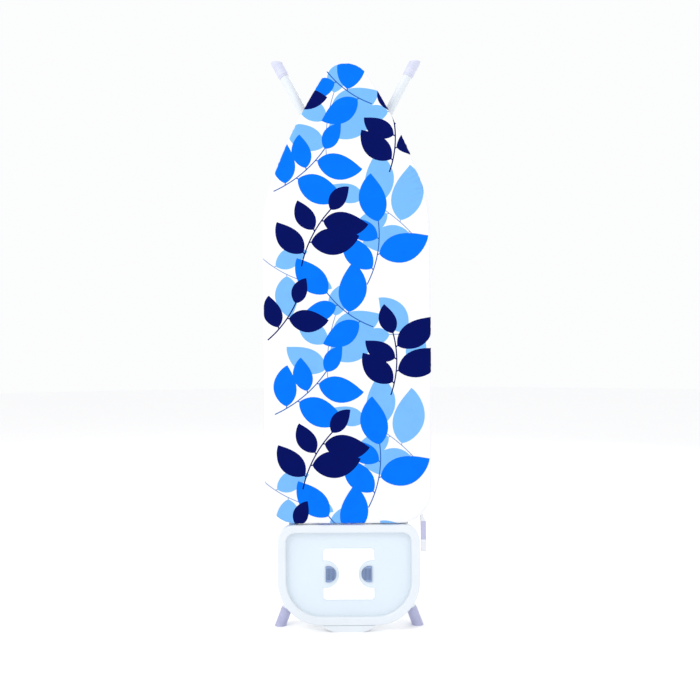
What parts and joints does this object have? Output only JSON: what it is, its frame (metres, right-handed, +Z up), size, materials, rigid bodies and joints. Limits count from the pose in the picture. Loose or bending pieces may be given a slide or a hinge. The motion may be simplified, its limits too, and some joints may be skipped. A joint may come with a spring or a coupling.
{
  "type": "ironing board",
  "caption": "Folding ironing board with a padded, leaf-printed cover, scissor legs and a steam-unit tray at its square end, stored upright.",
  "frame": {"origin": "centre of the folded board's bounding box, on the floor under its tray and feet", "axes": "+X to the right across the ironing face, +Y from the ironing face to the folded legs, +Z up towards the nose"},
  "size_m": [0.45, 0.081, 1.558],
  "materials": {
    "cotton_print": "printed cotton",
    "foam": "felt and foam",
    "label": "woven",
    "white_steel": "satin powder coat",
    "zinc_steel": "zinc plated",
    "grey_plastic": "moulded",
    "white_plastic": "moulded",
    "grey_rubber": "ribbed silicone"
  },
  "bodies": {
    "board": {"cover": "cotton_print", "padding": "foam", "top_panel": "white_steel", "edge_tube": "white_steel", "cross_member_tail": "white_steel", "cross_member_mid": "white_steel", "cross_member_nose": "white_steel", "rail_left": "white_steel", "rail_right": "white_steel", "height_rack": "white_steel", "hinge_bracket": "white_steel", "lock_bracket": "white_steel", "lock_pin": "zinc_steel", "care_label": "label", "tray_rim": "white_steel", "tray_base": "white_steel", "tray_pad_left": "grey_rubber", "tray_pad_right": "grey_rubber", "stand_lip": "white_steel", "tray_arm_left": "white_steel", "tray_arm_right": "white_steel", "tray_screws": "zinc_steel"},
    "tail_leg": {"tail_leg_tube_left": "white_steel", "tail_leg_tube_right": "white_steel", "hinge_axle": "zinc_steel", "centre_bolt_left": "zinc_steel", "centre_bolt_right": "zinc_steel", "tail_leg_upper_brace": "white_steel", "tail_leg_lower_brace": "white_steel", "tail_foot_left": "grey_plastic", "tail_foot_right": "grey_plastic", "tail_leg_plug_left": "grey_plastic", "tail_leg_plug_right": "grey_plastic"},
    "nose_leg": {"nose_leg_tube_left": "white_steel", "nose_leg_tube_right": "white_steel", "nose_leg_brace": "white_steel", "slider_pin_left": "zinc_steel", "slider_pin_right": "zinc_steel", "nose_foot_left": "grey_plastic", "nose_foot_right": "grey_plastic", "nose_leg_plug_left": "grey_plastic", "nose_leg_plug_right": "grey_plastic"},
    "slider": {"slider_bridge": "white_steel", "slider_shoe_left": "white_plastic", "slider_shoe_right": "white_plastic", "lever_pin": "zinc_steel"},
    "lever": {"release_lever": "grey_plastic"},
    "lock": {"lock_hook": "grey_plastic"}
  },
  "joints": [
    {"name": "fold", "type": "hinge", "parent": "board", "child": "tail_leg", "pos_m": [0, 0.0255, 1.1985], "axis": [1, 0, 0], "range_deg": [0, 48.5]},
    {"name": "leg_cross", "type": "hinge", "parent": "tail_leg", "child": "nose_leg", "pos_m": [0, 0.0255, 0.77902], "axis": [1, 0, 0], "range_deg": [-97, 0]},
    {"name": "slider_tilt", "type": "hinge", "parent": "nose_leg", "child": "slider", "pos_m": [0, 0.0255, 0.35955], "axis": [1, 0, 0], "range_deg": [0, 48.5]},
    {"name": "release", "type": "hinge", "parent": "slider", "child": "lever", "pos_m": [0, 0.0095, 0.38155], "axis": [1, 0, 0], "range_deg": [-9, 11], "stiffness_Nm_per_rad": 0.3},
    {"name": "storage_lock", "type": "hinge", "parent": "board", "child": "lock", "pos_m": [0, -0.0025, 1.27], "axis": [1, 0, 0], "range_deg": [-50, 0]}
  ],
  "couplings": [
    {"joint": "leg_cross", "follows": "fold", "ratio": -2},
    {"joint": "slider_tilt", "follows": "fold", "ratio": 1}
  ]
}
